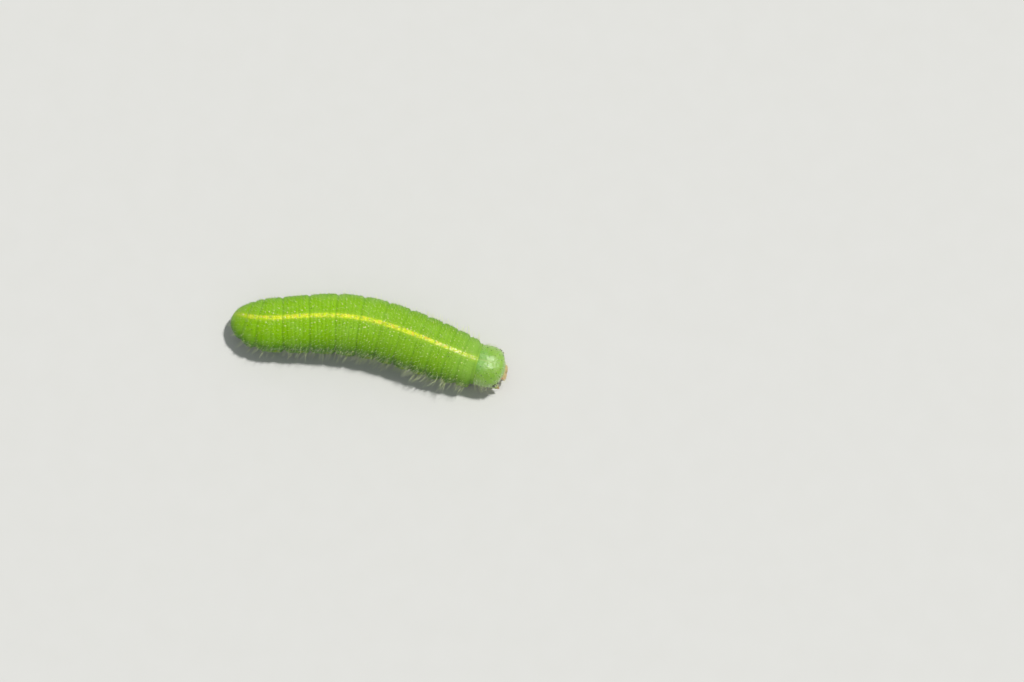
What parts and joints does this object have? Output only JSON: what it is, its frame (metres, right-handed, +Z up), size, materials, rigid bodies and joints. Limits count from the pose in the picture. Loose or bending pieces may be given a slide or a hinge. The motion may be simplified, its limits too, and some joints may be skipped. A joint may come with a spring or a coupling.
{
  "type": "butterfly larva",
  "caption": "Smooth green butterfly larva with a rounded head, ringed body, short true legs and soft prolegs, lying gently bent on flat soles.",
  "frame": {"origin": "middle of the bounding box in plan, at the level of the soles", "axes": "+X runs from the tail to the head along the body's chord, +Y is the animal's left, +Z is up"},
  "size_m": [0.0161, 0.0041, 0.0031],
  "materials": {
    "skin": "velvety soft skin, yellow-green",
    "capsule": "thin smooth horn, pale green",
    "foot": "soft translucent skin, pale green",
    "jaw": "hard horn, brown",
    "eye": "shiny clear domes over black"
  },
  "bodies": {
    "root": {"abdomen_10": "skin", "abdomen_9": "skin", "abdomen_8": "skin", "abdomen_7": "skin", "abdomen_6": "skin", "abdomen_5": "skin", "abdomen_4": "skin", "abdomen_3": "skin", "abdomen_2": "skin", "abdomen_1": "skin", "thorax_3": "skin", "thorax_2": "skin", "thorax_1": "skin", "head": "capsule", "labrum": "foot", "labium": "foot", "mandible_left": "jaw", "antenna_left": "foot", "eyes_left": "eye", "leg_left_1": "foot", "leg_left_2": "foot", "leg_left_3": "foot", "proleg_left_3": "foot", "proleg_left_4": "foot", "proleg_left_5": "foot", "proleg_left_6": "foot", "clasper_left": "foot", "mandible_right": "jaw", "antenna_right": "foot", "eyes_right": "eye", "leg_right_1": "foot", "leg_right_2": "foot", "leg_right_3": "foot", "proleg_right_3": "foot", "proleg_right_4": "foot", "proleg_right_5": "foot", "proleg_right_6": "foot", "clasper_right": "foot"}
  },
  "joints": []
}
